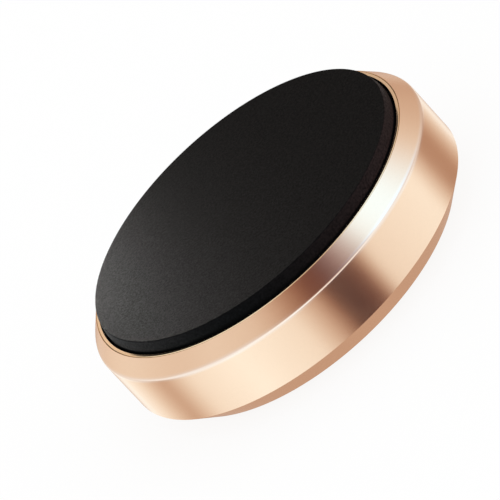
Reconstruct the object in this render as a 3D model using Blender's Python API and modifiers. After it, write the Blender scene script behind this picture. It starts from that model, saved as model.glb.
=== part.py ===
"""Magnetic phone mount for a dashboard, in metres, +Z up.

A turned aluminium cup stands on an adhesive foam disc. In the cup a steel plate, a moulded carrier and
six disc magnets lie on each other, and a moulded silicone pad, taped to the carrier, fills the mouth of
the cup and stands proud of it, so that the phone touches silicone and no metal.

The origin is the centre of the foam disc's lower face, the face that sticks to the dashboard.
"""

import math

import bpy
from mathutils import Vector

# Turned cup: the radius is the whole mount's, and everything inside is worked out from it
HOUSING_RADIUS = 0.0200
BEZEL_WIDTH = 0.00145
BEZEL_DROP = 0.00175
CREST_ROUND = 0.00030
LAND_WIDTH = 0.00040
LAND_ROUND = 0.00008
WELL_DEPTH = 0.00160
SEAT_WIDTH = 0.00115
CAVITY_CHAMFER = 0.00030
FLOOR_THICKNESS = 0.00240
FLOOR_CORNER_ROUND = 0.00040
FOOT_CHAMFER_WIDTH = 0.00235
FOOT_CHAMFER_HEIGHT = 0.00230
FOOT_ROUND = 0.00012
FOOT_RING_WIDTH = 0.00190
FOAM_RECESS_DEPTH = 0.00030

# Adhesive foam disc under the cup
FOAM_THICKNESS = 0.00080
FOAM_FIT = 0.00025
FOAM_EDGE_BULGE = 0.00006

# Steel plate that closes the magnets' field on the dashboard side
YOKE_THICKNESS = 0.00120
YOKE_FIT = 0.00050
YOKE_HOLE_RADIUS = 0.00200
YOKE_EDGE_ROUND = 0.00020

# Disc magnets: their radius is a share of the housing's, so that all of them fit round the hub
MAGNET_COUNT = 6
MAGNET_SHARE = 0.20
MAGNET_HEIGHT = 0.00500
MAGNET_CHAMFER = 0.00030
MAGNET_FIT = 0.00010

# Moulded carrier with the magnets' pockets
CARRIER_FIT = 0.00015
CARRIER_STEP = 0.00055
CARRIER_STEP_GAP = 0.00010
CARRIER_EDGE_ROUND = 0.00025
CARRIER_RIM_WALL = 0.00155
POCKET_WEB = 0.00050
HUB_RADIUS = 0.00320
HUB_CORE_WALL = 0.00120
HUB_RIB_WIDTH = 0.00100
CORE_WEB = 0.00100
RIM_CORE_RADIUS = 0.00130
RIM_CORE_WALL = 0.00125
PIN_FIT = 0.00010
PIN_TIP_GAP = 0.00020
CRUSH_RIB_RADIUS = 0.00050
CRUSH_RIB_GAP = 0.00005
CRUSH_RIB_INSET = 0.00060

# Double-sided tape between the carrier and the pad
TAPE_THICKNESS = 0.00015
TAPE_INSET = 0.00030

# Silicone grip pad
PAD_FIT = 0.00025
PAD_PROUD = 0.00125
PAD_WEB = 0.00150
PAD_DRAFT_WIDTH = 0.00022
PAD_DRAFT_HEIGHT = 0.00090
PAD_EDGE_ROUND = 0.00012
PAD_POCKET_FIT = 0.00020
PAD_POCKET_ROUND = 0.00030

# Faces that are glued or laid on each other are this far apart
BOND_GAP = 0.00005

# How finely round things are drawn
BODY_SEGMENTS = 96
INNER_SEGMENTS = 72
MAGNET_SEGMENTS = 28
RIB_SEGMENTS = 12
ARC_STEPS = 2
CUTTER_OVERRUN = 0.001
SMOOTH_ANGLE = math.radians(28)
AXIS_MERGE = 0.00001

# Radii, from the outside in
LAND_OUTER_RADIUS = HOUSING_RADIUS - BEZEL_WIDTH
WELL_RADIUS = LAND_OUTER_RADIUS - LAND_WIDTH
CAVITY_RADIUS = WELL_RADIUS - SEAT_WIDTH
PAD_RADIUS = WELL_RADIUS - PAD_FIT
FOOT_RADIUS = HOUSING_RADIUS - FOOT_CHAMFER_WIDTH
FOAM_RECESS_RADIUS = FOOT_RADIUS - FOOT_RING_WIDTH
FOAM_RADIUS = FOAM_RECESS_RADIUS - FOAM_FIT
YOKE_RADIUS = CAVITY_RADIUS - YOKE_FIT
CARRIER_RADIUS = CAVITY_RADIUS - CARRIER_FIT
PLATEAU_RADIUS = CARRIER_RADIUS - CARRIER_STEP
TAPE_RADIUS = PLATEAU_RADIUS - TAPE_INSET
PAD_POCKET_RADIUS = PLATEAU_RADIUS + PAD_POCKET_FIT
MAGNET_RADIUS = MAGNET_SHARE * HOUSING_RADIUS
POCKET_RADIUS = MAGNET_RADIUS + MAGNET_FIT
MAGNET_CIRCLE_RADIUS = CARRIER_RADIUS - CARRIER_RIM_WALL - POCKET_RADIUS
HUB_CORE_RADIUS = MAGNET_CIRCLE_RADIUS - POCKET_RADIUS - HUB_CORE_WALL
RIM_CORE_CIRCLE_RADIUS = CARRIER_RADIUS - RIM_CORE_WALL - RIM_CORE_RADIUS
PIN_RADIUS = YOKE_HOLE_RADIUS - PIN_FIT

# Heights, from the dashboard up
HOUSING_Z = FOAM_THICKNESS + BOND_GAP - FOAM_RECESS_DEPTH
FLOOR_Z = HOUSING_Z + FLOOR_THICKNESS
YOKE_Z = FLOOR_Z + BOND_GAP
CARRIER_Z = YOKE_Z + YOKE_THICKNESS + BOND_GAP
POCKET_TOP_Z = CARRIER_Z + MAGNET_HEIGHT + BOND_GAP
CARRIER_TOP_Z = POCKET_TOP_Z + POCKET_WEB
TAPE_Z = CARRIER_TOP_Z + BOND_GAP
PAD_POCKET_Z = TAPE_Z + TAPE_THICKNESS + BOND_GAP
PAD_TOP_Z = PAD_POCKET_Z + PAD_WEB
LAND_Z = PAD_TOP_Z - PAD_PROUD
SEAT_Z = LAND_Z - WELL_DEPTH
PAD_Z = SEAT_Z + BOND_GAP
CARRIER_STEP_Z = SEAT_Z - CARRIER_STEP_GAP

# Angles round the axis: a magnet, then the plastic between two magnets
MAGNET_PITCH = 2 * math.pi / MAGNET_COUNT
MAGNET_ANGLES = [MAGNET_PITCH * i for i in range(MAGNET_COUNT)]
BETWEEN_ANGLES = [MAGNET_PITCH * (i + 0.5) for i in range(MAGNET_COUNT)]


def clear_scene():
    for obj in list(bpy.data.objects):
        bpy.data.objects.remove(obj, do_unlink=True)


def collection(name):
    made = bpy.data.collections.new(name)
    bpy.context.scene.collection.children.link(made)
    return made


def linear(channel):
    """One channel of an sRGB colour, from 0 to 255, as the linear value that a shader takes."""
    share = channel / 255
    return share / 12.92 if share <= 0.04045 else ((share + 0.055) / 1.055) ** 2.4


def material(name, srgb, metallic, roughness):
    made = bpy.data.materials.new(name)
    made.use_nodes = True
    shader = made.node_tree.nodes["Principled BSDF"]
    colour = [linear(channel) for channel in srgb]
    shader.inputs["Base Color"].default_value = (*colour, 1)
    shader.inputs["Metallic"].default_value = metallic
    shader.inputs["Roughness"].default_value = roughness
    made.diffuse_color = (*colour, 1)
    return made


def eased_corner(before, corner, after, radius):
    """The points of the arc that replaces a sharp corner. The arc stays within its two sides."""
    to_before = before - corner
    to_after = after - corner
    half_angle = to_before.angle(to_after) / 2
    tangent = min(radius / math.tan(half_angle), 0.45 * to_before.length, 0.45 * to_after.length)
    radius = tangent * math.tan(half_angle)
    inward = (to_before.normalized() + to_after.normalized()).normalized()
    centre = corner + inward * (radius / math.sin(half_angle))
    sideways = (to_after.normalized() - to_before.normalized()).normalized()
    sweep = math.pi / 2 - half_angle
    turns = [sweep * (2 * step / ARC_STEPS - 1) for step in range(ARC_STEPS + 1)]
    return [centre + radius * (math.sin(turn) * sideways - math.cos(turn) * inward) for turn in turns]


def eased_profile(corners):
    """A profile's points, from corners of (radius, height, edge round). Its two ends stay as they are."""
    places = [Vector((corner[0], 0, corner[1])) for corner in corners]
    points = [places[0]]
    for i in range(1, len(corners) - 1):
        edge_round = corners[i][2]
        if edge_round:
            points += eased_corner(places[i - 1], places[i], places[i + 1], edge_round)
        else:
            points.append(places[i])
    return points + [places[-1]]


def turned(name, corners, segments, group, closed=False):
    """A lathe-turned solid: a profile swept once round +Z by a Screw modifier."""
    points = eased_profile(corners)
    edges = [(i, i + 1) for i in range(len(points) - 1)]
    if closed:
        edges.append((len(points) - 1, 0))
    mesh = bpy.data.meshes.new(name)
    mesh.from_pydata(points, edges, [])
    obj = bpy.data.objects.new(name, mesh)
    group.objects.link(obj)
    screw = obj.modifiers.new("Lathe", "SCREW")
    screw.axis = "Z"
    screw.steps = segments
    screw.render_steps = segments
    screw.use_merge_vertices = True
    screw.merge_threshold = AXIS_MERGE
    return obj


def cylinder(name, radius, low, high, angle, distance, segments, group):
    """An upright cylinder at an angle and a distance from +Z, with a flat, not a corner, towards +Z."""
    bpy.ops.mesh.primitive_cylinder_add(
        vertices=segments,
        radius=radius,
        depth=high - low,
        location=(distance * math.cos(angle), distance * math.sin(angle), (low + high) / 2),
        rotation=(0, 0, angle + math.pi / segments),
    )
    return take(name, group)


def block(name, size, centre, angle, group):
    bpy.ops.mesh.primitive_cube_add(size=1, location=centre, rotation=(0, 0, angle), scale=size)
    bpy.ops.object.transform_apply(location=False, rotation=False, scale=True)
    return take(name, group)


def take(name, group):
    """Names the object that was just added, and moves it to its collection."""
    obj = bpy.context.active_object
    obj.name = name
    for home in list(obj.users_collection):
        home.objects.unlink(obj)
    group.objects.link(obj)
    return obj


def combine(obj, other, operation):
    """Cuts the other object out of obj, or joins it on, and keeps the other one as a hidden guide."""
    boolean = obj.modifiers.new(other.name, "BOOLEAN")
    boolean.operation = operation
    boolean.object = other
    boolean.solver = "EXACT"
    other.hide_render = True
    other.display_type = "WIRE"


def settle(obj, finish, height):
    """Makes the modifiers' result the object's own mesh, smooth where it is round, at its height."""
    graph = bpy.context.evaluated_depsgraph_get()
    mesh = bpy.data.meshes.new_from_object(obj.evaluated_get(graph))
    mesh.name = obj.name
    obj.modifiers.clear()
    obj.data = mesh
    mesh.shade_smooth()
    mesh.set_sharp_from_angle(angle=SMOOTH_ANGLE)
    mesh.materials.clear()
    mesh.materials.append(finish)
    obj.location.z = height
    return obj


def housing(parts, finish):
    """The cup, down the bezel and the wall and in under the floor. Heights count from its foot."""
    floor = FLOOR_Z - HOUSING_Z
    seat = SEAT_Z - HOUSING_Z
    land = LAND_Z - HOUSING_Z
    corners = [
        (0, floor, 0),
        (CAVITY_RADIUS, floor, FLOOR_CORNER_ROUND),
        (CAVITY_RADIUS, seat - CAVITY_CHAMFER, 0),
        (CAVITY_RADIUS + CAVITY_CHAMFER, seat, 0),
        (WELL_RADIUS, seat, 0),
        (WELL_RADIUS, land, LAND_ROUND),
        (LAND_OUTER_RADIUS, land, LAND_ROUND),
        (HOUSING_RADIUS, land - BEZEL_DROP, CREST_ROUND),
        (HOUSING_RADIUS, FOOT_CHAMFER_HEIGHT, FOOT_ROUND),
        (FOOT_RADIUS, 0, FOOT_ROUND),
        (FOAM_RECESS_RADIUS, 0, 0),
        (FOAM_RECESS_RADIUS, FOAM_RECESS_DEPTH, 0),
        (0, FOAM_RECESS_DEPTH, 0),
    ]
    return settle(turned("housing", corners, BODY_SEGMENTS, parts), finish, HOUSING_Z)


def mounting_pad(parts, finish):
    """The foam disc, die-cut, with the slight belly that its cut edge has."""
    corners = [
        (0, FOAM_THICKNESS, 0),
        (FOAM_RADIUS, FOAM_THICKNESS, 0),
        (FOAM_RADIUS + FOAM_EDGE_BULGE, FOAM_THICKNESS / 2, 0),
        (FOAM_RADIUS, 0, 0),
        (0, 0, 0),
    ]
    return settle(turned("mounting_pad", corners, BODY_SEGMENTS, parts), finish, 0)


def yoke_plate(parts, finish):
    """A steel washer: stamping leaves the edge rounded on the die's side, which lies on the floor."""
    corners = [
        (YOKE_HOLE_RADIUS, 0, 0),
        (YOKE_HOLE_RADIUS, YOKE_THICKNESS, 0),
        (YOKE_RADIUS, YOKE_THICKNESS, 0),
        (YOKE_RADIUS, 0, YOKE_EDGE_ROUND),
        (YOKE_RADIUS - 2 * YOKE_EDGE_ROUND, 0, 0),
    ]
    return settle(turned("yoke_plate", corners, INNER_SEGMENTS, parts, closed=True), finish, YOKE_Z)


def magnets(parts, finish):
    """The discs, which share one mesh. Each has a chamfer at both edges, where the plating would chip."""
    corners = [
        (0, MAGNET_HEIGHT, 0),
        (MAGNET_RADIUS - MAGNET_CHAMFER, MAGNET_HEIGHT, 0),
        (MAGNET_RADIUS, MAGNET_HEIGHT - MAGNET_CHAMFER, 0),
        (MAGNET_RADIUS, MAGNET_CHAMFER, 0),
        (MAGNET_RADIUS - MAGNET_CHAMFER, 0, 0),
        (0, 0, 0),
    ]
    first = settle(turned("magnet_1", corners, MAGNET_SEGMENTS, parts), finish, CARRIER_Z)
    made = [first]
    for number in range(2, MAGNET_COUNT + 1):
        disc = bpy.data.objects.new(f"magnet_{number}", first.data)
        parts.objects.link(disc)
        made.append(disc)
    for disc, angle in zip(made, MAGNET_ANGLES):
        x = MAGNET_CIRCLE_RADIUS * math.cos(angle)
        y = MAGNET_CIRCLE_RADIUS * math.sin(angle)
        disc.location = (x, y, CARRIER_Z)
        disc.rotation_euler = (0, 0, angle)
    return made


def carrier_blank(parts):
    """The carrier without pockets: a plateau on a wider flange, and a pin that centres the plate."""
    top = CARRIER_TOP_Z - CARRIER_Z
    step = CARRIER_STEP_Z - CARRIER_Z
    pin_tip = FLOOR_Z + PIN_TIP_GAP - CARRIER_Z
    corners = [
        (0, top, 0),
        (PLATEAU_RADIUS, top, CARRIER_EDGE_ROUND),
        (PLATEAU_RADIUS, step, 0),
        (CARRIER_RADIUS, step, CARRIER_EDGE_ROUND),
        (CARRIER_RADIUS, 0, CARRIER_EDGE_ROUND),
        (PIN_RADIUS, 0, 0),
        (PIN_RADIUS, pin_tip, CARRIER_EDGE_ROUND),
        (0, pin_tip, 0),
    ]
    return turned("magnet_carrier", corners, INNER_SEGMENTS, parts)


def hub_core_cutter(cutters, ceiling):
    """The ring that is cored out round the hub, broken by ribs that run from the hub to the pockets."""
    corners = [
        (HUB_CORE_RADIUS, ceiling, 0),
        (HUB_CORE_RADIUS, -CUTTER_OVERRUN, 0),
        (HUB_RADIUS, -CUTTER_OVERRUN, 0),
        (HUB_RADIUS, ceiling, 0),
    ]
    ring = turned("hub_core", corners, INNER_SEGMENTS, cutters, closed=True)
    ring.rotation_euler.z = math.pi / INNER_SEGMENTS
    length = 2 * (HUB_CORE_RADIUS + CUTTER_OVERRUN)
    height = 2 * (ceiling + 2 * CUTTER_OVERRUN)
    for number, angle in enumerate(BETWEEN_ANGLES[: MAGNET_COUNT // 2], 1):
        rib = block(f"hub_rib_{number}", (length, HUB_RIB_WIDTH, height), (0, 0, 0), angle, cutters)
        combine(ring, rib, "DIFFERENCE")
    return ring


def magnet_carrier(parts, cutters, finish):
    """The moulding: magnet pockets, cored out between them, with ribs that bite in the cup's wall."""
    pocket_ceiling = POCKET_TOP_Z - CARRIER_Z
    core_ceiling = CARRIER_STEP_Z - CARRIER_Z - CORE_WEB
    carrier = carrier_blank(parts)
    for number, angle in enumerate(MAGNET_ANGLES, 1):
        pocket = cylinder(
            f"pocket_{number}", POCKET_RADIUS, -CUTTER_OVERRUN, pocket_ceiling,
            angle, MAGNET_CIRCLE_RADIUS, MAGNET_SEGMENTS, cutters,
        )
        combine(carrier, pocket, "DIFFERENCE")
    rib_reach = CARRIER_FIT - CRUSH_RIB_GAP
    rib_distance = CARRIER_RADIUS + rib_reach - CRUSH_RIB_RADIUS
    rib_high = CARRIER_STEP_Z - CARRIER_Z - CRUSH_RIB_INSET
    for number, angle in enumerate(BETWEEN_ANGLES, 1):
        rib = cylinder(
            f"crush_rib_{number}", CRUSH_RIB_RADIUS, CRUSH_RIB_INSET, rib_high,
            angle, rib_distance, RIB_SEGMENTS, cutters,
        )
        combine(carrier, rib, "UNION")
        core = cylinder(
            f"rim_core_{number}", RIM_CORE_RADIUS, -CUTTER_OVERRUN, core_ceiling,
            angle, RIM_CORE_CIRCLE_RADIUS, RIB_SEGMENTS, cutters,
        )
        combine(carrier, core, "DIFFERENCE")
    combine(carrier, hub_core_cutter(cutters, core_ceiling), "DIFFERENCE")
    return settle(carrier, finish, CARRIER_Z)


def pad_tape(parts, finish):
    corners = [
        (0, TAPE_THICKNESS, 0),
        (TAPE_RADIUS, TAPE_THICKNESS, 0),
        (TAPE_RADIUS, 0, 0),
        (0, 0, 0),
    ]
    return settle(turned("pad_tape", corners, INNER_SEGMENTS, parts), finish, TAPE_Z)


def grip_pad(parts, finish):
    """The silicone cap: a flat top, a drafted edge above the cup, and a pocket over the carrier."""
    top = PAD_TOP_Z - PAD_Z
    pocket = PAD_POCKET_Z - PAD_Z
    corners = [
        (0, top, 0),
        (PAD_RADIUS - PAD_DRAFT_WIDTH, top, PAD_EDGE_ROUND),
        (PAD_RADIUS, top - PAD_DRAFT_HEIGHT, PAD_EDGE_ROUND),
        (PAD_RADIUS, 0, PAD_EDGE_ROUND),
        (PAD_POCKET_RADIUS, 0, PAD_EDGE_ROUND),
        (PAD_POCKET_RADIUS, pocket, PAD_POCKET_ROUND),
        (0, pocket, 0),
    ]
    return settle(turned("grip_pad", corners, BODY_SEGMENTS, parts), finish, PAD_Z)


def build():
    clear_scene()
    parts = collection("magnetic_dashboard_mount")
    cutters = collection("cutters")
    rose_aluminium = material("rose_aluminium", (224, 182, 155), 1.0, 0.32)
    black_silicone = material("black_silicone", (38, 38, 38), 0.0, 0.75)
    black_abs = material("black_abs", (30, 31, 33), 0.0, 0.5)
    zinc_steel = material("zinc_steel", (186, 190, 194), 1.0, 0.38)
    nickel_plate = material("nickel_plate", (205, 202, 196), 1.0, 0.16)
    acrylic_tape = material("acrylic_tape", (222, 222, 214), 0.0, 0.55)
    grey_foam = material("grey_foam", (62, 63, 66), 0.0, 0.9)
    pieces = [
        mounting_pad(parts, grey_foam),
        housing(parts, rose_aluminium),
        yoke_plate(parts, zinc_steel),
        magnet_carrier(parts, cutters, black_abs),
        *magnets(parts, nickel_plate),
        pad_tape(parts, acrylic_tape),
        grip_pad(parts, black_silicone),
    ]
    frame = bpy.data.objects.new("mount_frame", None)
    parts.objects.link(frame)
    for piece in pieces:
        piece.parent = frame


build()
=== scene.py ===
# %% [markdown]
# # A magnetic phone mount for a dashboard
#
# This lesson dresses a finished CAD model: a turned, rose gold anodised cup with a black silicone pad.
# The CAD model is the fixed frame. It gives every place and size, and it is never moved or changed.
# Where a shape has to be smoother than the CAD mesh, a new piece is made at the same place and stands
# for the CAD node. Blender works in metres, and +Z points from the dashboard towards the phone. Sizes
# are easier to read in millimetres here, so they are written that way, and MM turns them into metres.

# %% Load the frame
import math

import bpy
from mathutils import Matrix, Vector


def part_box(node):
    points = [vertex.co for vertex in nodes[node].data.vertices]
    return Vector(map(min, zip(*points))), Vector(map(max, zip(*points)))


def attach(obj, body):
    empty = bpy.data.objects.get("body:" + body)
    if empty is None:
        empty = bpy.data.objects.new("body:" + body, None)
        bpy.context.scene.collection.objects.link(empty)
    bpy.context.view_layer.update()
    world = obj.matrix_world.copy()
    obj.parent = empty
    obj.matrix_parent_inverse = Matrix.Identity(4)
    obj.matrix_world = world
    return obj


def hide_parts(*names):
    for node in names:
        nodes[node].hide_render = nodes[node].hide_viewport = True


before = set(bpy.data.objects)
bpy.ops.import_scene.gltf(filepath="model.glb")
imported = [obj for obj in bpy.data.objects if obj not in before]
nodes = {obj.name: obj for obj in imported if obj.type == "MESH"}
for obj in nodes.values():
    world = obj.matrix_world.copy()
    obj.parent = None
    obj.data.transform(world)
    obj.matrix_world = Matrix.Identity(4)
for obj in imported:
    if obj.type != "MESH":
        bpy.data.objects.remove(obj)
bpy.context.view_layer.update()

MM = 0.001
print("CAD nodes:", ", ".join(sorted(nodes)))


# %% Sizes of the round nodes
def round_node(name):
    """Radius, underside and top of a round CAD node, in millimetres."""
    low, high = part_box(name)
    return [round(value / MM, 2) for value in (high.x, low.z, high.z)]


cup_radius, cup_underside, cup_top = round_node("housing")
pad_radius, pad_underside, pad_top = round_node("grip_pad")
foam_radius, foam_underside, foam_top = round_node("mounting_pad")
print("Radii in mm: cup", cup_radius, "pad", pad_radius, "foam disc", foam_radius)

# %% [markdown]
# ## Colour
#
# Colours are written as sRGB hex values, as a picture editor shows them. Shaders calculate with linear
# light. Linear numbers could be typed in, but nobody can read a colour in them, so one function turns
# each hex value into linear light where it is used.


# %% Colour helper
def colour(hex_value, strength=1.0):
    """An sRGB hex colour as linear RGBA, made brighter or darker by a strength."""
    channels = [int(hex_value[i : i + 2], 16) / 255 for i in (1, 3, 5)]
    linear = [c / 12.92 if c <= 0.04045 else ((c + 0.055) / 1.055) ** 2.4 for c in channels]
    return (*[c * strength for c in linear], 1.0)


print("Mid grey #808080 is", round(colour("#808080")[0], 3), "in linear light")

# %% [markdown]
# ## Nodes
#
# A material or a world is a graph of nodes. They could be added and linked one call at a time, but so
# many calls hide what the graph says. So one small function adds a node, sets its properties and feeds
# its inputs. An input is given as a value, or as the output of another node, which links it.


# %% Node helper
def feed(tree, node, inputs):
    """Gives a node its inputs: values, or output sockets to link from."""
    for name, value in inputs.items():
        if isinstance(value, bpy.types.NodeSocket):
            tree.links.new(value, node.inputs[name])
        else:
            node.inputs[name].default_value = value


def add_node(tree, kind, settings=None, inputs=None):
    """Adds a node, sets its properties and feeds its inputs."""
    node = tree.nodes.new(kind)
    for name, value in (settings or {}).items():
        setattr(node, name, value)
    feed(tree, node, inputs or {})
    return node


print("A node is added by", add_node.__name__, "and fed by", feed.__name__)


# %% Material helper
def new_material(name):
    """An empty material's tree, its Principled shader, and the object's own coordinates in metres."""
    made = bpy.data.materials.new(name)
    made.use_nodes = True
    tree = made.node_tree
    place = add_node(tree, "ShaderNodeTexCoord").outputs["Object"]
    return made, tree, tree.nodes["Principled BSDF"], place


def distance_from_axis(tree, place):
    """How far a point is from the mount's axis, in metres."""
    flat = add_node(tree, "ShaderNodeVectorMath", {"operation": "MULTIPLY"}, {0: place, 1: (1, 1, 0)})
    radius = add_node(tree, "ShaderNodeVectorMath", {"operation": "LENGTH"}, {
        0: flat.outputs["Vector"],
    })
    return radius.outputs["Value"]


print("A material starts from", new_material.__name__)

# %% [markdown]
# ## Camera
#
# The photograph was taken with a long lens, so the far side of the mount is hardly smaller than the
# near side. The camera looks down on the dashboard plane by 26 degrees. It is rolled by 43 degrees,
# which is why the mount seems to lean in the picture. It could be placed by eye, but the place and the
# aim were found more closely, by fitting the projected circles of the pad, the bezel and the foot to
# the edges in the photograph.

# %% Camera
CAMERA_ELEVATION = math.radians(25.919)
CAMERA_ROLL = math.radians(-42.751)
CAMERA_DISTANCE = 800 * MM
CAMERA_AIM = Vector((-2.192, 2.543, 5.896)) * MM
# Lens and sensor are in millimetres, as Blender counts them.
LENS_LENGTH = 593.4
SENSOR_WIDTH = 36.0

camera_data = bpy.data.cameras.new("camera")
camera_data.lens = LENS_LENGTH
camera_data.sensor_width = SENSOR_WIDTH
camera_data.clip_start = 10 * MM
camera_data.clip_end = 50.0
camera = bpy.data.objects.new("camera", camera_data)
bpy.context.scene.collection.objects.link(camera)
bpy.context.scene.camera = camera
camera.location = Vector((
    0,
    -CAMERA_DISTANCE * math.cos(CAMERA_ELEVATION),
    CAMERA_DISTANCE * math.sin(CAMERA_ELEVATION) + cup_underside * MM,
))
line_of_sight = (CAMERA_AIM - camera.location).normalized()
right_hand = line_of_sight.cross(Vector((0, 0, 1))).normalized()
level = Matrix((right_hand, right_hand.cross(line_of_sight), -line_of_sight)).transposed()
roll = Matrix.Rotation(CAMERA_ROLL, 3, "Z")
camera.rotation_mode = "QUATERNION"
camera.rotation_quaternion = level.to_quaternion() @ roll.to_quaternion()
print("Camera at", [round(c / MM, 1) for c in camera.location], "mm")

# %% [markdown]
# ## Turned shapes
#
# The cup came off a lathe, and the pad and the foam disc are round as well. Such a shape is a profile
# swept round an axis. A modifier can do that, but its shading has to guess the direction of a surface
# from flat facets. Here the profile carries the true direction of the surface at each of its points,
# so a long flat face stays flat to the eye and a small eased edge catches the light as a real one does.

# %% Profile helper
ARC_STEPS = 8


def in_metres(corners):
    """Corners in millimetres as corners in metres. A corner without a finish takes the first one."""
    return [
        (radius * MM, height * MM, edge_round * MM, finish[0] if finish else 0)
        for radius, height, edge_round, *finish in corners
    ]


def eased_profile(corners):
    """Corners of (radius, height, edge round, finish) as points of (radius, height, normal, finish).

    The profile starts on the axis on top, runs down the outside and comes back to the axis underneath.
    A corner's finish is that of the face that runs from it to the next corner.
    """
    places = [Vector((corner[0], corner[1])) for corner in corners]
    points = []
    for i, corner in enumerate(corners):
        here, edge_round, finish = places[i], corner[2], corner[3]
        before = (here - places[i - 1]).normalized() if i > 0 else None
        after = (places[i + 1] - here).normalized() if i < len(corners) - 1 else None
        if before is None or after is None:
            side = after or before
            points.append((here.x, here.y, Vector((-side.y, side.x)), finish))
            continue
        turn = math.atan2(before.x * after.y - before.y * after.x, before.dot(after))
        reach = edge_round * math.tan(abs(turn) / 2)
        bend = 1 if turn > 0 else -1
        centre = here - before * reach + Vector((-before.y, before.x)) * edge_round * bend
        for step in range(ARC_STEPS + 1):
            angle = turn * step / ARC_STEPS
            along = Vector((
                before.x * math.cos(angle) - before.y * math.sin(angle),
                before.x * math.sin(angle) + before.y * math.cos(angle),
            ))
            normal = Vector((-along.y, along.x))
            place = centre - normal * edge_round * bend
            points.append((place.x, place.y, normal, finish))
    return points


print("Each eased edge is an arc of", ARC_STEPS, "steps")

# %% Lathe helper: rings of points and bands of faces
ON_AXIS = 1e-9


def swept_rings(points, segments):
    """Profile points swept round +Z: vertices, their normals, and the vertex numbers of each ring."""
    vertices, normals, rings = [], [], []
    for radius, height, normal, _ in points:
        count = 1 if radius < ON_AXIS else segments
        rings.append(range(len(vertices), len(vertices) + count))
        for s in range(count):
            angle = 2 * math.pi * s / segments
            outward = Vector((math.cos(angle), math.sin(angle), 0))
            vertices.append(outward * radius + Vector((0, 0, height)))
            normals.append((outward * normal.x + Vector((0, 0, normal.y))).normalized())
    return vertices, normals, rings


def band_of_faces(upper, lower, segments):
    """The faces between two rings. A ring on the axis is a single point, so its faces are triangles."""
    band = []
    for s in range(segments):
        n = (s + 1) % segments
        if len(upper) == 1:
            band.append((upper[0], lower[s], lower[n]))
        elif len(lower) == 1:
            band.append((upper[s], lower[0], upper[n]))
        else:
            band.append((upper[s], lower[s], lower[n], upper[n]))
    return band


print("A square ring has", len(band_of_faces(range(0, 4), range(4, 8), 4)), "faces")

# %% Lathe helper: the piece
BODY_SEGMENTS = 320
FOAM_SEGMENTS = 256


def turned_piece(name, corners, finishes, segments):
    """A lathe-turned piece: its profile swept round +Z, with exact normals, and a finish per face."""
    points = eased_profile(in_metres(corners))
    vertices, normals, rings = swept_rings(points, segments)
    faces, face_finishes = [], []
    for point, upper, lower in zip(points, rings, rings[1:]):
        band = band_of_faces(upper, lower, segments)
        faces += band
        face_finishes += [point[3]] * len(band)
    mesh = bpy.data.meshes.new(name)
    mesh.from_pydata(vertices, [], faces)
    for finish in finishes:
        mesh.materials.append(finish)
    for polygon, index in zip(mesh.polygons, face_finishes):
        polygon.material_index = index
        polygon.use_smooth = True
    mesh.normals_split_custom_set_from_vertices(normals)
    mesh.validate()
    piece = bpy.data.objects.new(name, mesh)
    bpy.context.scene.collection.objects.link(piece)
    print(name, "has", sum(len(polygon.vertices) - 2 for polygon in mesh.polygons), "triangles")
    return piece


print("The cup and the pad have", BODY_SEGMENTS, "segments, the foam disc", FOAM_SEGMENTS)

# %% [markdown]
# ## Anodised aluminium, satin
#
# The outside of the cup was turned, blasted with fine glass beads, and anodised with a rose gold dye.
# The blasting leaves shallow dimples about as wide as the beads, which spread each reflection into a
# soft band. The dye tints the metal under a clear oxide, so the colour belongs to the reflection
# itself, and some of it stays at glancing angles. Tens of thousands of dimples are too many to model,
# so noise tilts the surface instead. Beads of 0.07 mm are finer than a pixel here, so the dimples are
# drawn 0.12 mm wide, and the rest of their effect is in the roughness. The crest between bezel and
# wall has a painted highlight: a paler colour in a narrow band there, not quite even.

# %% The painted highlight on the crest
BEZEL_DROP = 1.75
# Width of the painted highlight along the crest, and how unevenly it is painted
CREST_HIGHLIGHT_WIDTH = 0.42 * MM
CREST_HIGHLIGHT_UNEVENLY = (0.7, 1.0)
CLOUD_MIDDLE = (0.3, 0.7)
# Radius and height of the crest's middle, a little inside the corner that its easing takes off
CREST_RING = ((cup_radius - 0.10) * MM, 0, (cup_top - BEZEL_DROP - 0.05) * MM)


def painted_crest_highlight(tree, place, cloud):
    """How strong the painted highlight is: most on the crest, by more or less as the cloud says."""
    height = add_node(tree, "ShaderNodeSeparateXYZ", None, {"Vector": place})
    profile = add_node(tree, "ShaderNodeCombineXYZ", None, {
        "X": distance_from_axis(tree, place), "Z": height.outputs["Z"],
    })
    off_crest = add_node(tree, "ShaderNodeVectorMath", {"operation": "DISTANCE"}, {
        0: profile.outputs["Vector"], 1: CREST_RING,
    })
    highlighted = add_node(tree, "ShaderNodeMapRange", {"interpolation_type": "SMOOTHSTEP"}, {
        "Value": off_crest.outputs["Value"], "From Min": CREST_HIGHLIGHT_WIDTH, "From Max": 0.0,
    })
    uneven = add_node(tree, "ShaderNodeMapRange", None, {
        "Value": cloud,
        "From Min": CLOUD_MIDDLE[0],
        "From Max": CLOUD_MIDDLE[1],
        "To Min": CREST_HIGHLIGHT_UNEVENLY[0],
        "To Max": CREST_HIGHLIGHT_UNEVENLY[1],
    })
    return add_node(tree, "ShaderNodeMath", {"operation": "MULTIPLY"}, {
        0: highlighted.outputs["Result"], 1: uneven.outputs["Result"],
    }).outputs["Value"]


print("The crest is rubbed over", round(2 * CREST_HIGHLIGHT_WIDTH / MM, 2), "mm")

# %% Satin anodised aluminium
ROSE_GOLD = "#F3CEB0"
# A paler gold along the crest, which paints its highlight
CREST_HIGHLIGHT_GOLD = "#F4DDCE"
GLANCING_GOLD = "#FCF1E7"
DYE_SPREAD = (0.96, 1.04)
SATIN_ROUGHNESS = (0.18, 0.22)
BEAD_DIMPLE = 0.12 * MM
DIMPLE_DEPTH = 0.0006 * MM
HANDLING_CLOUD = 3 * MM


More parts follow.
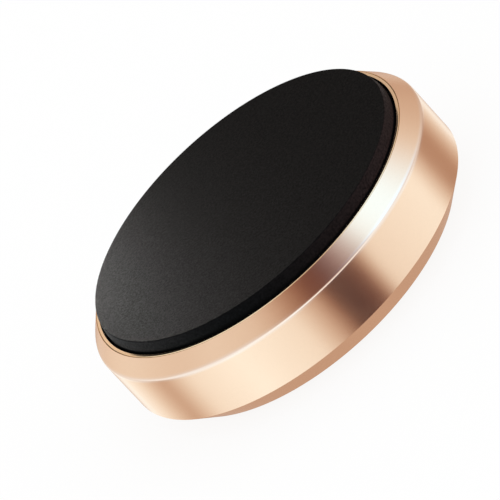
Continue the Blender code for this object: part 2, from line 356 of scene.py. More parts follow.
def satin_anodised():
    made, tree, shader, place = new_material("satin_anodised_aluminium")
    dimples = add_node(tree, "ShaderNodeTexNoise", None, {
        "Vector": place, "Scale": 1 / BEAD_DIMPLE, "Detail": 2.0, "Roughness": 0.6,
    })
    cloud = add_node(tree, "ShaderNodeTexNoise", None, {
        "Vector": place, "Scale": 1 / HANDLING_CLOUD, "Detail": 3.0,
    })
    roughness = add_node(tree, "ShaderNodeMapRange", None, {
        "Value": cloud.outputs["Fac"], "To Min": SATIN_ROUGHNESS[0], "To Max": SATIN_ROUGHNESS[1],
    })
    bump = add_node(tree, "ShaderNodeBump", None, {
        "Strength": 0.12, "Distance": DIMPLE_DEPTH, "Height": dimples.outputs["Fac"],
    })
    dyed = add_node(tree, "ShaderNodeMix", {"data_type": "RGBA"}, {
        "Factor": dimples.outputs["Fac"],
        "A": colour(ROSE_GOLD, DYE_SPREAD[0]),
        "B": colour(ROSE_GOLD, DYE_SPREAD[1]),
    })
    # The paler colour along the crest is a painted highlight.
    dye_and_highlight = add_node(tree, "ShaderNodeMix", {"data_type": "RGBA"}, {
        "Factor": painted_crest_highlight(tree, place, cloud.outputs["Fac"]),
        "A": dyed.outputs["Result"],
        "B": colour(CREST_HIGHLIGHT_GOLD),
    })
    feed(tree, shader, {
        "Base Color": dye_and_highlight.outputs["Result"],
        "Roughness": roughness.outputs["Result"],
        "Normal": bump.outputs["Normal"],
        "Metallic": 1.0,
        "Specular Tint": colour(GLANCING_GOLD),
    })
    return made


satin = satin_anodised()
print("Made", satin.name)

# %% [markdown]
# ## Anodised aluminium, turned
#
# The land round the pad, the magnets' cavity and the underside weren't blasted. They show the turning
# tool's fine rings under the same dye, which looks more golden on bright metal. The rings could be cut
# into the mesh, but a wave that counts the radius gives them on every face for nothing. A finishing
# tool advances about 0.05 mm for each turn, which is too fine to show, so the rings are 0.1 mm apart.

# %% Turned anodised aluminium
TURNED_GOLD = "#F8DDB8"
TURNED_ROUGHNESS = (0.16, 0.22)
TOOL_FEED = 0.10 * MM
RING_DEPTH = 0.001 * MM
RING_WOBBLE = 4 * MM


def turned_anodised():
    made, tree, shader, place = new_material("turned_anodised_aluminium")
    wobble = add_node(tree, "ShaderNodeTexNoise", None, {"Vector": place, "Scale": 1 / RING_WOBBLE})
    phase = add_node(tree, "ShaderNodeMath", {"operation": "MULTIPLY_ADD"}, {
        0: distance_from_axis(tree, place), 1: 2 * math.pi / TOOL_FEED, 2: wobble.outputs["Fac"],
    })
    rings = add_node(tree, "ShaderNodeMath", {"operation": "SINE"}, {0: phase.outputs["Value"]})
    bump = add_node(tree, "ShaderNodeBump", None, {
        "Strength": 0.25, "Distance": RING_DEPTH, "Height": rings.outputs["Value"],
    })
    roughness = add_node(tree, "ShaderNodeMapRange", None, {
        "Value": wobble.outputs["Fac"], "To Min": TURNED_ROUGHNESS[0], "To Max": TURNED_ROUGHNESS[1],
    })
    feed(tree, shader, {
        "Base Color": colour(TURNED_GOLD),
        "Roughness": roughness.outputs["Result"],
        "Normal": bump.outputs["Normal"],
        "Metallic": 1.0,
    })
    return made


bright_turned = turned_anodised()
print("Made", bright_turned.name)

# %% [markdown]
# ## Painted shade in the groove
#
# The groove between the pad and the land shows as a plain black line, also at its two ends, where the
# eye looks along it and would see gold if the wall were bare. So the wall and the ledge of the pad's
# well get a nearly black colour that paints the shade of the groove, a little uneven, with a dull
# shine. It could be a skin of its own over the metal, but it has no thickness that shows, so it is a
# finish that some faces of the cup take.

# %% Painted shade for the groove
# A nearly black colour that paints the shade in the groove round the pad and in the fine line
GROOVE_SHADE_BLACK = ("#060505", "#0D0B0A")
GROOVE_SHADE_ROUGHNESS = (0.5, 0.7)
GROOVE_SHADE_SPECULAR = 0.3
SHADE_MOTTLE = 0.5 * MM


def painted_shade_material():
    made, tree, shader, place = new_material("painted_groove_shade")
    mottle = add_node(tree, "ShaderNodeTexNoise", None, {
        "Vector": place, "Scale": 1 / SHADE_MOTTLE, "Detail": 2.0,
    })
    # Nearly black, a little uneven: painted shade
    tint = add_node(tree, "ShaderNodeMix", {"data_type": "RGBA"}, {
        "Factor": mottle.outputs["Fac"], "A": colour(GROOVE_SHADE_BLACK[0]), "B": colour(GROOVE_SHADE_BLACK[1]),
    })
    roughness = add_node(tree, "ShaderNodeMapRange", None, {
        "Value": mottle.outputs["Fac"], "To Min": GROOVE_SHADE_ROUGHNESS[0], "To Max": GROOVE_SHADE_ROUGHNESS[1],
    })
    feed(tree, shader, {
        "Base Color": tint.outputs["Result"],
        "Roughness": roughness.outputs["Result"],
        "Specular IOR Level": GROOVE_SHADE_SPECULAR,
    })
    return made


shade_finish = painted_shade_material()
print("Made", shade_finish.name)

# %% [markdown]
# ## Housing
#
# The cup is one turned piece: a flat land round the pad, a conical bezel, an eased crest, an upright
# wall and a chamfered foot. Underneath is a shallow recess for the foam disc, and inside are the pad's
# well and the magnets' cavity. It could be cut from cylinders and cones, but one profile keeps all its
# sizes and easings in one place. Every corner is eased, some only by the few hundredths of a millimetre
# that deburring leaves. The corners are those of the CAD node. One detail is too small for the CAD: a
# fine line, 0.08 mm deep, that the tool cuts where the land meets the bezel. Its narrow bottom is given
# painted shade, so it shows as a thin dark line.

# %% Sizes of the cup, in millimetres
BEZEL_WIDTH = 1.45
LAND_WIDTH = 0.40
WELL_DEPTH = 1.60
SEAT_WIDTH = 1.15
CAVITY_CHAMFER = 0.30
FLOOR_THICKNESS = 2.40
FOOT_CHAMFER_WIDTH = 2.35
FOOT_CHAMFER_HEIGHT = 2.30
FOOT_RING_WIDTH = 1.90
FOAM_RECESS_DEPTH = 0.30

land_edge = cup_radius - BEZEL_WIDTH
well_radius = land_edge - LAND_WIDTH
seat = cup_top - WELL_DEPTH
cavity_radius = well_radius - SEAT_WIDTH
cavity_floor = cup_underside + FLOOR_THICKNESS
foot_radius = cup_radius - FOOT_CHAMFER_WIDTH
recess_radius = foot_radius - FOOT_RING_WIDTH
recess_roof = cup_underside + FOAM_RECESS_DEPTH
print("Well of radius", round(well_radius, 2), "mm and cavity of radius", round(cavity_radius, 2), "mm")

# %% Fine line and rounds of the cup, in millimetres
# The line's places count outwards from the land's edge, and its depths count down from the land.
LINE_START = -0.10
LINE_BOTTOM_START = -0.065
LINE_BOTTOM_END = -0.025
LINE_END = 0.02
LINE_DEPTH = 0.08
LINE_END_DEPTH = 0.024

LINE_BOTTOM_ROUND = 0.01
LINE_EDGE_ROUND = 0.02
DEBURRED_ROUND = 0.03
WELL_ROUND = 0.05
FOOT_ROUND = 0.12
FLOOR_CORNER_ROUND = 0.40
CREST_ROUND = 0.45
print("The fine line is", round(LINE_END - LINE_START, 2), "mm wide and", LINE_DEPTH, "mm deep")

# %% Housing
# Each corner is a radius, a height, the round of its edge, and the finish of the face that follows it.
# The third finish is painted shade: the dark groove round the pad and the dark bottom of the fine line.
SATIN, TURNED, PAINTED_SHADE = range(3)
housing_corners = [
    (0.0, cavity_floor, 0, TURNED),
    (cavity_radius, cavity_floor, FLOOR_CORNER_ROUND, TURNED),
    (cavity_radius, seat - CAVITY_CHAMFER, DEBURRED_ROUND, TURNED),
    (cavity_radius + CAVITY_CHAMFER, seat, DEBURRED_ROUND, PAINTED_SHADE),
    (well_radius, seat, WELL_ROUND, PAINTED_SHADE),
    (well_radius, cup_top, WELL_ROUND, TURNED),
    (land_edge + LINE_START, cup_top, LINE_EDGE_ROUND, TURNED),
    (land_edge + LINE_BOTTOM_START, cup_top - LINE_DEPTH, LINE_BOTTOM_ROUND, PAINTED_SHADE),
    (land_edge + LINE_BOTTOM_END, cup_top - LINE_DEPTH, LINE_BOTTOM_ROUND, TURNED),
    (land_edge + LINE_END, cup_top - LINE_END_DEPTH, LINE_EDGE_ROUND, SATIN),
    (cup_radius, cup_top - BEZEL_DROP, CREST_ROUND, SATIN),
    (cup_radius, cup_underside + FOOT_CHAMFER_HEIGHT, FOOT_ROUND, SATIN),
    (foot_radius, cup_underside, FOOT_ROUND, TURNED),
    (recess_radius, cup_underside, DEBURRED_ROUND, TURNED),
    (recess_radius, recess_roof, DEBURRED_ROUND, TURNED),
    (0.0, recess_roof, 0, TURNED),
]
housing = turned_piece("anodised_cup", housing_corners, [satin, bright_turned, shade_finish], BODY_SEGMENTS)
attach(housing, "root")
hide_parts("housing")

# %% [markdown]
# ## Silicone
#
# The pad is compression moulded in a tool that was spark eroded, so its skin is matte with a fine
# grain. The pits of such a tool are about 0.08 mm wide, which is finer than a pixel here, so they are
# drawn 0.2 mm wide. They could be bumps alone, but the eye reads such a grain mostly by its shine: the
# floor of a pit is darker and duller than the skin between the pits, so the same noise drives the tint,
# the roughness and the bump. Silicone of this kind is nearly black and reflects little when seen from
# the front, and more at a glancing angle.

# %% Black silicone
SILICONE_BLACK = "#070809"
PIT_AND_SKIN_TINT = (0.5, 1.5)
PIT_AND_SKIN_ROUGHNESS = (0.71, 0.50)
SPARK_GRAIN = 0.20 * MM
# The noise hardly leaves its middle values, so these are stretched to the full range.
GRAIN_MIDDLE = (0.35, 0.65)
PIT_DEPTH = 0.007 * MM
SILICONE_IOR = 1.41
SILICONE_SPECULAR = 0.05


def moulded_silicone():
    made, tree, shader, place = new_material("moulded_black_silicone")
    grain = add_node(tree, "ShaderNodeTexNoise", None, {
        "Vector": place, "Scale": 1 / SPARK_GRAIN, "Detail": 3.0, "Roughness": 0.65,
    })
    pits = add_node(tree, "ShaderNodeMapRange", None, {
        "Value": grain.outputs["Fac"], "From Min": GRAIN_MIDDLE[0], "From Max": GRAIN_MIDDLE[1],
    })
    bump = add_node(tree, "ShaderNodeBump", None, {
        "Strength": 1.0, "Distance": PIT_DEPTH, "Height": pits.outputs["Result"],
    })
    tint = add_node(tree, "ShaderNodeMix", {"data_type": "RGBA"}, {
        "Factor": pits.outputs["Result"],
        "A": colour(SILICONE_BLACK, PIT_AND_SKIN_TINT[0]),
        "B": colour(SILICONE_BLACK, PIT_AND_SKIN_TINT[1]),
    })
    roughness = add_node(tree, "ShaderNodeMapRange", None, {
        "Value": pits.outputs["Result"],
        "To Min": PIT_AND_SKIN_ROUGHNESS[0],
        "To Max": PIT_AND_SKIN_ROUGHNESS[1],
    })
    feed(tree, shader, {
        "Base Color": tint.outputs["Result"],
        "Roughness": roughness.outputs["Result"],
        "Normal": bump.outputs["Normal"],
        "Specular IOR Level": SILICONE_SPECULAR,
        "IOR": SILICONE_IOR,
    })
    return made


silicone = moulded_silicone()
print("Made", silicone.name)

# %% [markdown]
# ## Grip pad
#
# The pad is a shallow cap of silicone. Its top is flat, its edge has a draft so that it comes out of
# the mould, and a pocket underneath drops over the magnets' carrier. It stands proud of the metal,
# so that a phone never touches the cup. It could be a cylinder with bevelled edges, but the lathe
# helper gives the draft, the pocket and every round from one profile.

# %% Grip pad
PAD_DRAFT_WIDTH = 0.22
PAD_DRAFT_HEIGHT = 0.90
PAD_EDGE_ROUND = 0.12
PAD_SKIRT_WIDTH = 1.40
PAD_WEB = 1.50
PAD_POCKET_ROUND = 0.30

pocket_radius = pad_radius - PAD_SKIRT_WIDTH
pocket_roof = pad_top - PAD_WEB
pad_corners = [
    (0.0, pad_top, 0),
    (pad_radius - PAD_DRAFT_WIDTH, pad_top, PAD_EDGE_ROUND),
    (pad_radius, pad_top - PAD_DRAFT_HEIGHT, PAD_EDGE_ROUND),
    (pad_radius, pad_underside, PAD_EDGE_ROUND),
    (pocket_radius, pad_underside, PAD_EDGE_ROUND),
    (pocket_radius, pocket_roof, PAD_POCKET_ROUND),
    (0.0, pocket_roof, 0),
]
grip_pad = turned_piece("silicone_grip_pad", pad_corners, [silicone], BODY_SEGMENTS)
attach(grip_pad, "root")
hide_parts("grip_pad")

# %% [markdown]
# ## Acrylic foam
#
# The disc under the cup is die-cut from a sheet of closed-cell acrylic foam with adhesive on both
# faces. Its cells are about 0.15 mm wide and show on the cut edge, and the edge bulges a little. The
# cells could be cut out of the solid, but there are far too many, so a pattern of cells gives their
# walls and hollows as bump and as tint.

# %% Acrylic foam
FOAM_GREY = ("#2C2D30", "#505256")
FOAM_ROUGHNESS = 0.8
FOAM_CELL = 0.15 * MM
FOAM_CELL_DEPTH = 0.03 * MM
FOAM_CLOUD = 2 * MM
# How much darker a cell's wall is than its hollow, and the range that this gives with the cloud
WALL_SHADE = -0.7
SHADE_RANGE = (-0.1, 0.5)


def acrylic_foam():
    made, tree, shader, place = new_material("closed_cell_acrylic_foam")
    cells = add_node(tree, "ShaderNodeTexVoronoi", None, {"Vector": place, "Scale": 1 / FOAM_CELL})
    cloud = add_node(tree, "ShaderNodeTexNoise", None, {"Vector": place, "Scale": 1 / FOAM_CLOUD})
    bump = add_node(tree, "ShaderNodeBump", None, {
        "Strength": 0.5, "Distance": FOAM_CELL_DEPTH, "Height": cells.outputs["Distance"],
    })
    # The distance from a cell's middle is greatest at its wall.
    lightness = add_node(tree, "ShaderNodeMath", {"operation": "MULTIPLY_ADD"}, {
        0: cells.outputs["Distance"], 1: WALL_SHADE, 2: cloud.outputs["Fac"],
    })
    shade = add_node(tree, "ShaderNodeMapRange", None, {
        "Value": lightness.outputs["Value"],
        "From Min": SHADE_RANGE[0],
        "From Max": SHADE_RANGE[1],
    })
    tint = add_node(tree, "ShaderNodeMix", {"data_type": "RGBA"}, {
        "Factor": shade.outputs["Result"], "A": colour(FOAM_GREY[0]), "B": colour(FOAM_GREY[1]),
    })
    feed(tree, shader, {
        "Base Color": tint.outputs["Result"],
        "Normal": bump.outputs["Normal"],
        "Roughness": FOAM_ROUGHNESS,
    })
    return made


foam = acrylic_foam()
print("Made", foam.name)

# %% Foam disc
FOAM_EDGE_BULGE = 0.06
FOAM_EDGE_ROUND = 0.06
FOAM_BULGE_ROUND = 0.60

disc_radius = foam_radius - FOAM_EDGE_BULGE
foam_corners = [
    (0.0, foam_top, 0),
    (disc_radius, foam_top, FOAM_EDGE_ROUND),
    (foam_radius, foam_top / 2, FOAM_BULGE_ROUND),
    (disc_radius, foam_underside, FOAM_EDGE_ROUND),
    (0.0, foam_underside, 0),
]
foam_disc = turned_piece("adhesive_foam_disc", foam_corners, [foam], FOAM_SEGMENTS)
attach(foam_disc, "root")
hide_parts("mounting_pad")

# %% [markdown]
# ## Hidden pieces
#
# The carrier, the steel plate, the tape and the magnets are closed in by the cup and the pad. They
# could be made again as the cup was, but their CAD shapes are right as they are, so they stay, and
# each only gets the finish that it has on a bench.
#
# The carrier is injection moulded ABS. Its tool was lightly textured, which leaves a grain of 0.1 mm
# and a dull, slightly uneven shine.

# %% Moulded ABS
ABS_BLACK = "#1E1F21"
ABS_IOR = 1.54
ABS_ROUGHNESS = (0.42, 0.58)
ABS_GRAIN = 0.10 * MM
ABS_GRAIN_DEPTH = 0.008 * MM


def moulded_abs():
    made, tree, shader, place = new_material("moulded_black_abs")
    grain = add_node(tree, "ShaderNodeTexNoise", None, {"Vector": place, "Scale": 1 / ABS_GRAIN})
    bump = add_node(tree, "ShaderNodeBump", None, {
        "Strength": 0.3, "Distance": ABS_GRAIN_DEPTH, "Height": grain.outputs["Fac"],
    })
    roughness = add_node(tree, "ShaderNodeMapRange", None, {
        "Value": grain.outputs["Fac"], "To Min": ABS_ROUGHNESS[0], "To Max": ABS_ROUGHNESS[1],
    })
    feed(tree, shader, {
        "Base Color": colour(ABS_BLACK),
        "Roughness": roughness.outputs["Result"],
        "Normal": bump.outputs["Normal"],
        "IOR": ABS_IOR,
    })
    return made


hidden_finishes = {"magnet_carrier": moulded_abs()}
print("The carrier is", hidden_finishes["magnet_carrier"].name)

# %% [markdown]
# ## Zinc plated steel
#
# The plate under the magnets is stamped from rolled steel and plated with zinc. Rolling leaves streaks
# that run one way, and the plating is bluish in some and yellowish in others. A picture of rolled steel
# could be laid on it, but noise that is stretched along the rolling direction needs no picture.

# %% Zinc plated steel
ZINC_GREY = ("#B4B9C2", "#C2C3BE")
ZINC_ROUGHNESS = (0.3, 0.45)
# Width, length and depth of a rolling streak
ROLLING_STREAK = (0.08 * MM, 3 * MM, 0.5 * MM)


def zinc_plated_steel():
    made, tree, shader, place = new_material("zinc_plated_steel")
    rolled = add_node(tree, "ShaderNodeMapping", None, {
        "Vector": place, "Scale": [1 / size for size in ROLLING_STREAK],
    })
    streaks = add_node(tree, "ShaderNodeTexNoise", None, {
        "Vector": rolled.outputs["Vector"], "Scale": 1.0, "Detail": 2.0,
    })
    tint = add_node(tree, "ShaderNodeMix", {"data_type": "RGBA"}, {
        "Factor": streaks.outputs["Fac"], "A": colour(ZINC_GREY[0]), "B": colour(ZINC_GREY[1]),
    })
    roughness = add_node(tree, "ShaderNodeMapRange", None, {
        "Value": streaks.outputs["Fac"], "To Min": ZINC_ROUGHNESS[0], "To Max": ZINC_ROUGHNESS[1],
    })
    feed(tree, shader, {
        "Base Color": tint.outputs["Result"],
        "Roughness": roughness.outputs["Result"],
        "Metallic": 1.0,
    })
    return made


hidden_finishes["yoke_plate"] = zinc_plated_steel()
print("The steel plate is", hidden_finishes["yoke_plate"].name)

# %% [markdown]
# ## Adhesive tape
#
# The tape that holds the pad to the carrier is a film with clear acrylic adhesive on both faces. The
# adhesive ripples a little where it was rolled on. It could be clear, but it lies closed in between
# two black pieces, so the pale milky tone that it has on its roll is enough.

# %% Acrylic adhesive tape
TAPE_WHITE = ("#D6D5CA", "#E6E6DF")
TAPE_IOR = 1.47
TAPE_ROUGHNESS = 0.45
TAPE_RIPPLE = 1.5 * MM
TAPE_RIPPLE_DEPTH = 0.01 * MM


def adhesive_tape():
    made, tree, shader, place = new_material("acrylic_adhesive_tape")
    ripple = add_node(tree, "ShaderNodeTexNoise", None, {"Vector": place, "Scale": 1 / TAPE_RIPPLE})
    tint = add_node(tree, "ShaderNodeMix", {"data_type": "RGBA"}, {
        "Factor": ripple.outputs["Fac"], "A": colour(TAPE_WHITE[0]), "B": colour(TAPE_WHITE[1]),
    })
    bump = add_node(tree, "ShaderNodeBump", None, {
        "Strength": 0.2, "Distance": TAPE_RIPPLE_DEPTH, "Height": ripple.outputs["Fac"],
    })
    feed(tree, shader, {
        "Base Color": tint.outputs["Result"],
        "Normal": bump.outputs["Normal"],
        "Roughness": TAPE_ROUGHNESS,
        "IOR": TAPE_IOR,
    })
    return made


hidden_finishes["pad_tape"] = adhesive_tape()
print("The tape is", hidden_finishes["pad_tape"].name)

# %% [markdown]
# ## Bright nickel plating
#
# Neodymium magnets rust, so each disc is plated with bright nickel. It mirrors nearly as well as
# chrome and is a little warmer. The plating levels the pressed magnet only roughly, which leaves a
# faint orange peel. That could be sculpted, but a soft bump with 0.6 mm between its hills does it.

# %% Bright nickel plating
NICKEL_SILVER = "#CDCAC4"
NICKEL_ROUGHNESS = (0.12, 0.2)
ORANGE_PEEL = 0.6 * MM
ORANGE_PEEL_DEPTH = 0.004 * MM
MAGNET_COUNT = 6


def nickel_plating():
    made, tree, shader, place = new_material("bright_nickel_plating")
    peel = add_node(tree, "ShaderNodeTexNoise", None, {"Vector": place, "Scale": 1 / ORANGE_PEEL})
    bump = add_node(tree, "ShaderNodeBump", None, {
        "Strength": 0.2, "Distance": ORANGE_PEEL_DEPTH, "Height": peel.outputs["Fac"],
    })
    roughness = add_node(tree, "ShaderNodeMapRange", None, {
        "Value": peel.outputs["Fac"], "To Min": NICKEL_ROUGHNESS[0], "To Max": NICKEL_ROUGHNESS[1],
    })
    feed(tree, shader, {
        "Base Color": colour(NICKEL_SILVER),
        "Roughness": roughness.outputs["Result"],
        "Normal": bump.outputs["Normal"],
        "Metallic": 1.0,
    })
    return made


plating = nickel_plating()
for number in range(1, MAGNET_COUNT + 1):
    hidden_finishes[f"magnet_{number}"] = plating
print("The magnets are", plating.name)

# %% Finishes of the hidden pieces
for name, finish in hidden_finishes.items():
    nodes[name].material_slots[0].material = finish
print("Hidden pieces with a finish:", len(hidden_finishes))

# %% [markdown]
# ## Studio
#
# Metal shows what stands round it. The photograph was taken in a light tent: bright cloth to the left
# and the right, a dark opening in front where the camera stands, and dimmer gaps where two cloths meet.
# The bands on the wall are that tent. It could be hung round the mount as sheets of cloth, but those
# would also shade and tint it. Here it is the world's background as reflections see it, in three rings:
# one below the horizon for the upright wall, one at the horizon for the crest, and one above it for the
# bezel. Each ring only says how bright the cloth is.

# %% Cloth of the tent
# Each stop is an angle round the mount, 0 in front and 90 to the right, and how bright the cloth is.
CLOTH_BELOW = [
    (-180, 0.30), (-160, 1.20), (-140, 1.05), (-115, 0.60), (-95, 1.05), (-60, 1.20), (-20, 1.05),
    (-5, 0.60), (5, 0.00), (15, 0.00), (25, 0.10), (35, 1.00), (90, 1.15), (110, 0.50), (125, 0.50),
    (140, 0.80), (160, 1.20),
]
CLOTH_LEVEL = [
    (-180, 0.45), (-150, 0.90), (-115, 1.05), (-60, 1.05), (-15, 1.20), (15, 1.05), (40, 1.10),
    (75, 0.95), (110, 0.75), (140, 0.70),
]
CLOTH_ABOVE = [
    (-180, 0.80), (-120, 0.65), (-80, 0.90), (-50, 0.85), (-35, 0.70), (-20, 0.40), (-5, 0.10),
    (15, 0.05), (35, 0.60), (50, 1.10), (80, 1.10), (115, 1.00), (150, 0.65),
]
TABLE_BRIGHTNESS = 0.62
ROOF_BRIGHTNESS = 0.80
# A ramp holds values up to 1, so brightness is divided by this and multiplied again after the ramps.
BRIGHTEST = 1.5
print("Tent with", len(CLOTH_BELOW) + len(CLOTH_LEVEL) + len(CLOTH_ABOVE), "stretches of cloth")


# %% Ring of cloth
def cloth_ring(tree, angle, stops):
    """A ring of cloth: a ramp over the angle, from behind the mount round to behind it again."""
    ramp = add_node(tree, "ShaderNodeValToRGB", None, {"Fac": angle})
    elements = ramp.color_ramp.elements
    closed = stops + [(180, stops[0][1])]
    while len(elements) < len(closed):
        elements.new(1.0)
    for element, (degrees, brightness) in zip(elements, closed):
        element.position = (degrees + 180) / 360
        element.color = (*[brightness / BRIGHTEST] * 3, 1.0)
    return ramp.outputs["Color"]


print("The lowest ring is darkest at", min(CLOTH_BELOW, key=lambda stop: stop[1])[0], "degrees")

# %% World: the direction of view
world = bpy.data.worlds.new("light_tent")
bpy.context.scene.world = world
world.use_nodes = True
world.cycles.sampling_method = "NONE"
sky = world.node_tree
sky.nodes.clear()
towards = add_node(sky, "ShaderNodeTexCoord").outputs["Generated"]
axes = add_node(sky, "ShaderNodeSeparateXYZ", None, {"Vector": towards})
front = add_node(sky, "ShaderNodeMath", {"operation": "MULTIPLY"}, {0: axes.outputs["Y"], 1: -1.0})
turn = add_node(sky, "ShaderNodeMath", {"operation": "ARCTAN2"}, {
    0: axes.outputs["X"], 1: front.outputs[0],
})
angle = add_node(sky, "ShaderNodeMapRange", None, {
    "Value": turn.outputs[0], "From Min": -math.pi, "From Max": math.pi,
}).outputs["Result"]
rise = add_node(sky, "ShaderNodeMath", {"operation": "ARCSINE"}, {0: axes.outputs["Z"]}).outputs[0]
print("World", world.name, "knows its direction from", len(sky.nodes), "nodes")

# %% World: brightness, from the table up to the roof
# Each layer is an angle above the horizon, in degrees, and the brightness there. Between two layers,
# one fades into the other.
layers = [
    (-40, TABLE_BRIGHTNESS / BRIGHTEST),
    (-28, cloth_ring(sky, angle, CLOTH_BELOW)),
    (0, cloth_ring(sky, angle, CLOTH_LEVEL)),
    (48, cloth_ring(sky, angle, CLOTH_ABOVE)),
    (78, ROOF_BRIGHTNESS / BRIGHTEST),
]
cloth = layers[0][1]
for (low, _), (high, upper) in zip(layers, layers[1:]):
    share = add_node(sky, "ShaderNodeMapRange", {"interpolation_type": "SMOOTHSTEP"}, {
        "Value": rise, "From Min": math.radians(low), "From Max": math.radians(high),
    })
    cloth = add_node(sky, "ShaderNodeMix", None, {
        "Factor": share.outputs["Result"], "A": cloth, "B": upper,
    }).outputs["Result"]
brightness = add_node(sky, "ShaderNodeMath", {"operation": "MULTIPLY"}, {0: cloth, 1: BRIGHTEST})
print("The tent has", len(layers), "layers from the table to the roof")

# %% [markdown]
# ## Tone of the tent
#
# Dim cloth is lit by light that has already come off the metal and the table, so it is warmer than
# bright cloth. Each stop could have a colour of its own, but one rule gives that tone everywhere: red
# follows the brightness, and green and blue are powers of it. A cool softbox behind the cloth, to the
# right and above, makes the silvery stretch of the bezel. A little of its light comes in through the
# dark opening too, so the darkest stripe isn't pure red.

# %% World: tone of the cloth
# An amount of the brightness, and the power that it is raised to
GREEN_OF_CLOTH = (1.08, 1.65)
BLUE_OF_CLOTH = (1.10, 2.10)


def cloth_channel(amount, power):
    """One colour channel of the cloth: an amount of the brightness raised to a power."""
    raised = add_node(sky, "ShaderNodeMath", {"operation": "POWER"}, {
        0: brightness.outputs[0], 1: power,
    })
    scaled = add_node(sky, "ShaderNodeMath", {"operation": "MULTIPLY"}, {
        0: raised.outputs[0], 1: amount,
    })
    return scaled.outputs[0]


toned = add_node(sky, "ShaderNodeCombineColor", None, {
    "Red": brightness.outputs[0],
    "Green": cloth_channel(*GREEN_OF_CLOTH),
    "Blue": cloth_channel(*BLUE_OF_CLOTH),
})
print("Cloth of brightness 0.5 is", [0.5] + [
    round(amount * 0.5**power, 2) for amount, power in (GREEN_OF_CLOTH, BLUE_OF_CLOTH)
])

# %% World: a cool softbox, and its leak through the opening
SOFTBOX_ANGLE = math.radians(69)
SOFTBOX_HEIGHT = math.radians(40)
SOFTBOX_REACH = math.radians(45)
# Amounts of red, green and blue light that are added to the light of the cloth
SOFTBOX_LIGHT = (0.0, 0.42, 0.92, 1.0)
OPENING_LEAK = (0.0, 0.006, 0.022, 1.0)

towards_softbox = (
    math.sin(SOFTBOX_ANGLE) * math.cos(SOFTBOX_HEIGHT),
    -math.cos(SOFTBOX_ANGLE) * math.cos(SOFTBOX_HEIGHT),
    math.sin(SOFTBOX_HEIGHT),
)
nearness = add_node(sky, "ShaderNodeVectorMath", {"operation": "DOT_PRODUCT"}, {
    0: towards, 1: towards_softbox,
})
apart = add_node(sky, "ShaderNodeMath", {"operation": "ARCCOSINE"}, {0: nearness.outputs["Value"]})
softbox = add_node(sky, "ShaderNodeMapRange", {"interpolation_type": "SMOOTHSTEP"}, {
    "Value": apart.outputs[0], "From Min": SOFTBOX_REACH, "From Max": 0.0,
})
tent = add_node(sky, "ShaderNodeMix", {"data_type": "RGBA", "blend_type": "ADD"}, {
    "Factor": softbox.outputs["Result"], "A": toned.outputs["Color"], "B": SOFTBOX_LIGHT,
})
tent = add_node(sky, "ShaderNodeMix", {"data_type": "RGBA", "blend_type": "ADD"}, {
    "Factor": 1.0, "A": tent.outputs["Result"], "B": OPENING_LEAK,
})
print("Softbox towards", [round(part, 2) for part in towards_softbox])

# %% World: what sees the tent
WHITE = (1, 1, 1, 1)
rays = add_node(sky, "ShaderNodeLightPath")
even_light = add_node(sky, "ShaderNodeBackground", None, {"Color": WHITE, "Strength": 1.0})
tent_light = add_node(sky, "ShaderNodeBackground", None, {
    "Color": tent.outputs["Result"], "Strength": 1.0,
})
seen = add_node(sky, "ShaderNodeMixShader", None, {
    0: rays.outputs["Is Glossy Ray"], 1: even_light.outputs[0], 2: tent_light.outputs[0],
})
add_node(sky, "ShaderNodeOutputWorld", None, {"Surface": seen.outputs[0]})
print("World", world.name, "has", len(sky.nodes), "nodes")

# %% [markdown]
# ## Lamps that stand close
#
# Black silicone hardly shows the tent, but it does show lamps that stand close. In the photograph a
# small softbox behind the mount gives the left of the pad a soft sheen. The pad's edge is lighter at
# its left end, and has a faint warm glow on the right, as from light that the metal throws back.
# Three soft lamps give these, and they light the pad alone, because in the metal the tent stands for
# them. The two for the edge stay lower than the pad's top, so the top doesn't see them, and they are
# left out of the shine, which would show them as glare from behind. The land round the pad is
# brighter at its left end than at its right. The tent is too far away to do that, so one more lamp,
# for the cup alone, stands where only that end mirrors it to the camera.

# %% Lamp helper
pad_alone = bpy.data.collections.new("pad_alone")
pad_alone.objects.link(grip_pad)
cup_alone = bpy.data.collections.new("cup_alone")
cup_alone.objects.link(housing)


def close_lamp(name, lit, place, aim, size, watts, tint, in_shine):
    """A soft lamp that lights one collection. Place, aim, width and height are in millimetres."""
    data = bpy.data.lights.new(name, "AREA")
    data.shape = "RECTANGLE"
    data.size, data.size_y = size[0] * MM, size[1] * MM
    data.energy = watts
    data.color = colour(tint)[:3]
    lamp = bpy.data.objects.new(name, data)
    bpy.context.scene.collection.objects.link(lamp)
    lamp.location = Vector(place) * MM
    lamp.rotation_euler = (Vector(aim) - Vector(place)).to_track_quat("-Z", "Y").to_euler()
    lamp.light_linking.receiver_collection = lit
    lamp.visible_camera = False
    lamp.visible_glossy = in_shine
    print(name, "is", round((lamp.location - Vector(aim) * MM).length / MM), "mm away")


# %% Lamps that stand close
close_lamp(
    "sheen_lamp", pad_alone, place=(-20, 50, 13), aim=(-15, 5, 11.5), size=(12, 12),
    watts=0.035, tint="#FFFCF8", in_shine=True,
)
close_lamp(
    "left_edge_lamp", pad_alone, place=(-50, 8, 5), aim=(-16, -7, 10.5), size=(30, 9),
    watts=0.170, tint="#FFF0E4", in_shine=False,
)
close_lamp(
    "right_edge_lamp", pad_alone, place=(46, -28, 5), aim=(14, -11, 10.5), size=(44, 9),
    watts=0.125, tint="#FFB5A4", in_shine=False,
)
close_lamp(
    "land_lamp", cup_alone, place=(-24, 45, 34), aim=(-18, 0, 10.3), size=(12, 12),
    watts=0.00012, tint="#FFF0E0", in_shine=True,
)

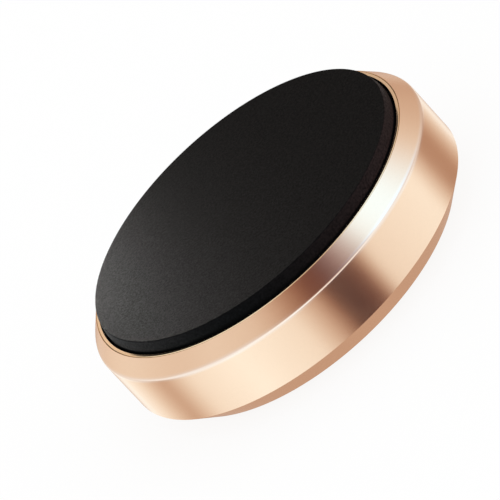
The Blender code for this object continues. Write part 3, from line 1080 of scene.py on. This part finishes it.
# %% [markdown]
# ## Floor
#
# The mount stands on a pale floor that fills the view, as in a cut-out product picture. A stronger
# light could whiten the floor, but it would bleach the mount as well. So the floor glows a little for
# the camera, and the rest of it is plain matte white, which keeps the soft shadow at the foot. From
# below it is clear, so that the foam disc can be looked at.

# %% Floor material
FLOOR_WHITE = "#FDFDFD"
FLOOR_GLOW = 0.88


def studio_floor():
    made = bpy.data.materials.new("white_floor")
    made.use_nodes = True
    tree = made.node_tree
    tree.nodes.clear()
    rays = add_node(tree, "ShaderNodeLightPath")
    side = add_node(tree, "ShaderNodeNewGeometry")
    matte = add_node(tree, "ShaderNodeBsdfDiffuse", None, {"Color": colour(FLOOR_WHITE)})
    glow = add_node(tree, "ShaderNodeEmission", None, {"Color": WHITE, "Strength": 1.0})
    amount = add_node(tree, "ShaderNodeMath", {"operation": "MULTIPLY"}, {
        0: rays.outputs["Is Camera Ray"], 1: FLOOR_GLOW,
    })
    top = add_node(tree, "ShaderNodeMixShader", None, {
        0: amount.outputs[0], 1: matte.outputs[0], 2: glow.outputs[0],
    })
    clear = add_node(tree, "ShaderNodeBsdfTransparent")
    both = add_node(tree, "ShaderNodeMixShader", None, {
        0: side.outputs["Backfacing"], 1: top.outputs[0], 2: clear.outputs[0],
    })
    add_node(tree, "ShaderNodeOutputMaterial", None, {"Surface": both.outputs[0]})
    return made


floor_material = studio_floor()
print("Made", floor_material.name)

# %% Floor
FLOOR_SIZE = 6.0

half = FLOOR_SIZE / 2
floor_corners = [(-half, -half, 0), (half, -half, 0), (half, half, 0), (-half, half, 0)]
floor_mesh = bpy.data.meshes.new("floor")
floor_mesh.from_pydata(floor_corners, [], [(0, 1, 2, 3)])
floor_mesh.materials.append(floor_material)
floor = bpy.data.objects.new("floor", floor_mesh)
bpy.context.scene.collection.objects.link(floor)
floor.visible_glossy = False
print("Floor of", FLOOR_SIZE, "m")

# %% [markdown]
# ## View
#
# Blender can bend colours as film does, but then no colour comes out as it was written, so the view is
# Standard.

# %% View settings
bpy.context.scene.view_settings.view_transform = "Standard"
